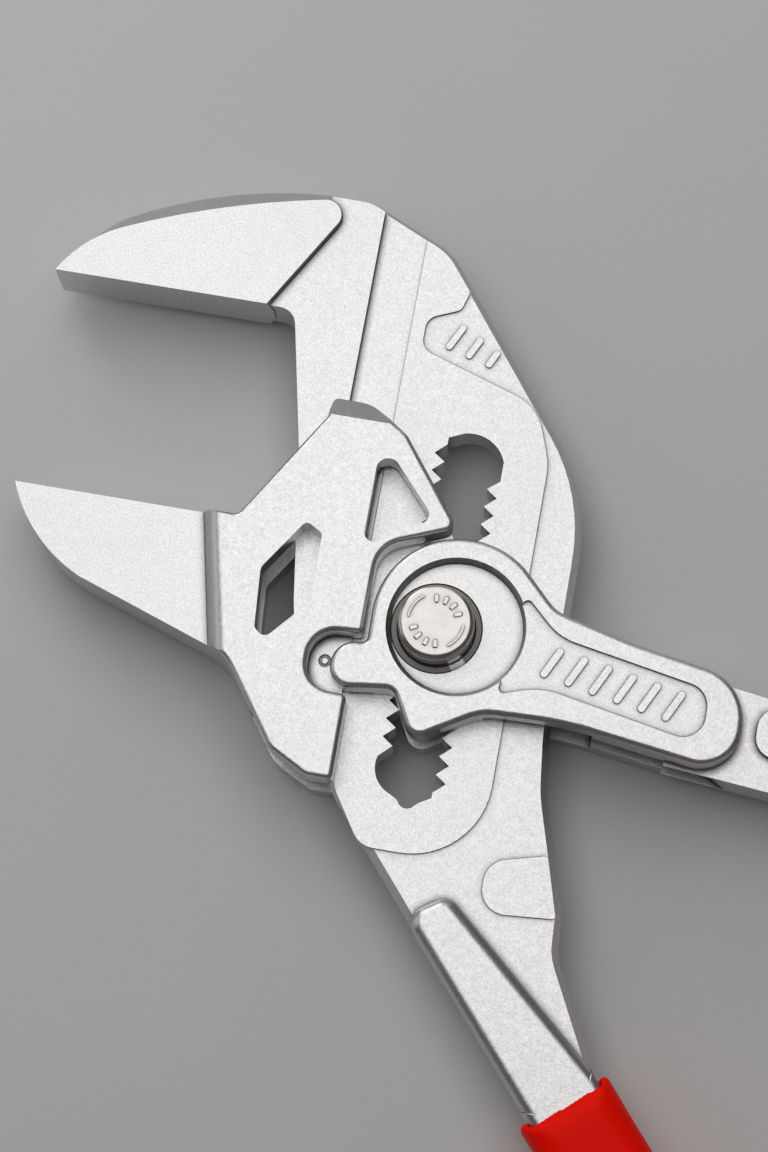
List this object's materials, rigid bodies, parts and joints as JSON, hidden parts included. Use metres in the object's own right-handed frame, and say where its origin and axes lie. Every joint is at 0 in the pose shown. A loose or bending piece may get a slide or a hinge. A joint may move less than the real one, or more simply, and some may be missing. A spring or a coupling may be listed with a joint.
{
  "type": "push-button pliers wrench",
  "caption": "Adjustable pliers with smooth parallel jaws: a sliding lower jaw driven by a lever, and a push-button toothed joint in a slotted arm.",
  "frame": {"origin": "on the joint bolt's axis, at its flat underside, which is the plane the tool lies on", "axes": "+X along the gripping faces towards the handles, +Y the way the sliding jaw closes, +Z along the joint bolt up to the push button"},
  "size_m": [0.2412, 0.2104, 0.0216],
  "materials": {
    "forged_steel": "satin nickel-chrome plating over fine-blasted forging",
    "machined_steel": "machined",
    "polished_button": "polished",
    "spring_steel": "bright",
    "red_dip": "glossy dipped plastic"
  },
  "bodies": {
    "arm": {"fixed_jaw_arm": "forged_steel", "arm_grip": "red_dip"},
    "carriage": {"button_spring": "spring_steel"},
    "lever": {"lever": "forged_steel", "lever_grip": "red_dip", "retaining_ring": "spring_steel"},
    "jaw": {"sliding_jaw": "forged_steel"},
    "bolt": {"joint_bolt": "machined_steel", "push_button": "polished_button"}
  },
  "joints": [
    {"name": "adjust", "type": "slide", "parent": "arm", "child": "carriage", "axis": [0, 1, 0], "range_m": [-0.0232, 0.029]},
    {"name": "lever_swing", "type": "hinge", "parent": "carriage", "child": "lever", "pos_m": [0, 0, 0], "axis": [0, 0, 1], "range_deg": [-28, 0]},
    {"name": "jaw_slide", "type": "slide", "parent": "carriage", "child": "jaw", "axis": [0, 1, 0], "range_m": [0, 0.0063]},
    {"name": "button_press", "type": "slide", "parent": "carriage", "child": "bolt", "axis": [0, 0, -1], "range_m": [0, 0.0029], "stiffness_N_per_m": 900, "springref_m": -0.001, "deforming": ["button_spring"]}
  ],
  "couplings": [
    {"joint": "jaw_slide", "follows": "lever_swing", "m_per_rad": -0.0128}
  ]
}
